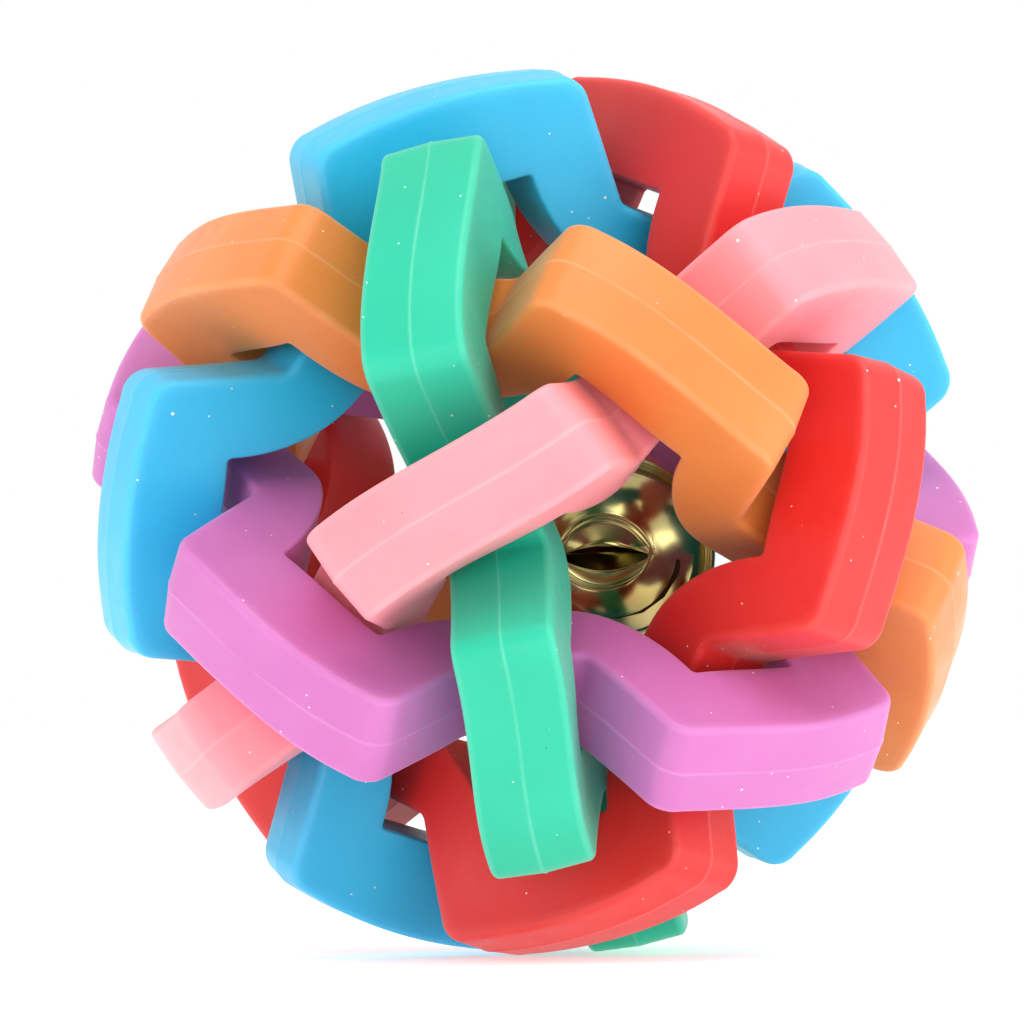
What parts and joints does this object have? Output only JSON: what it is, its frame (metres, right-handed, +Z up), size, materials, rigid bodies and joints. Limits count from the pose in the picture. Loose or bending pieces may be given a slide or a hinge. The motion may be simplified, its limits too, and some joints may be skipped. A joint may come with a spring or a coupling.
{
  "type": "woven rattle ball",
  "caption": "Rattle ball woven from closed rubber rings that pass over and under one another, with a loose jingle bell inside.",
  "frame": {"origin": "centre of the ball, where the planes of all the rings meet", "axes": "+Z up through the middle of a triangle of three lobes; the ball stands on the triangle opposite. -Y is the front, where the pink ring's lobe crosses over the green ring; +X is to the right seen from the front"},
  "size_m": [0.0892, 0.09, 0.0896],
  "materials": {
    "blue_rubber": "moulded rubber, satin with a soft sheen",
    "pink_rubber": "moulded rubber, satin with a soft sheen",
    "green_rubber": "moulded rubber, satin with a soft sheen",
    "purple_rubber": "moulded rubber, satin with a soft sheen",
    "red_rubber": "moulded rubber, satin with a soft sheen",
    "orange_rubber": "moulded rubber, satin with a soft sheen",
    "bell_plating": "pressed sheet, bright pale brass plating",
    "bell_wire": "bent wire, bright pale brass plating",
    "pellet_steel": "plain steel shot"
  },
  "bodies": {
    "blue_ring": {"blue_ring": "blue_rubber"},
    "pink_ring": {"pink_ring": "pink_rubber"},
    "green_ring": {"green_ring": "green_rubber"},
    "purple_ring": {"purple_ring": "purple_rubber"},
    "red_ring": {"red_ring": "red_rubber"},
    "orange_ring": {"orange_ring": "orange_rubber"},
    "bell": {"bell_slotted_shell": "bell_plating", "bell_hanger_shell": "bell_plating", "bell_hanger_loop": "bell_wire"},
    "pellet": {"bell_pellet": "pellet_steel"}
  },
  "joints": [
    {"name": "pink_ring_play", "type": "hinge", "parent": "blue_ring", "child": "pink_ring", "pos_m": [0, 0, 0], "axis": [-0.6071, 0, 0.7947], "range_deg": [-0.5, 0.5]},
    {"name": "green_ring_play", "type": "hinge", "parent": "blue_ring", "child": "green_ring", "pos_m": [0, 0, 0], "axis": [0.9822, 0, 0.1876], "range_deg": [-0.5, 0.5]},
    {"name": "purple_ring_play", "type": "hinge", "parent": "blue_ring", "child": "purple_ring", "pos_m": [0, 0, 0], "axis": [0.3035, -0.5257, 0.7947], "range_deg": [-0.5, 0.5]},
    {"name": "red_ring_play", "type": "hinge", "parent": "blue_ring", "child": "red_ring", "pos_m": [0, 0, 0], "axis": [-0.4911, -0.8507, 0.1876], "range_deg": [-0.5, 0.5]},
    {"name": "orange_ring_play", "type": "hinge", "parent": "blue_ring", "child": "orange_ring", "pos_m": [0, 0, 0], "axis": [0.3035, 0.5257, 0.7947], "range_deg": [-0.5, 0.5]},
    {"name": "bell_roll", "type": "slide", "parent": "blue_ring", "child": "bell", "axis": [0, -1, 0], "range_m": [0, 0.022]},
    {"name": "pellet_hop", "type": "slide", "parent": "bell", "child": "pellet", "axis": [0, 0, 1], "range_m": [0, 0.012]}
  ]
}
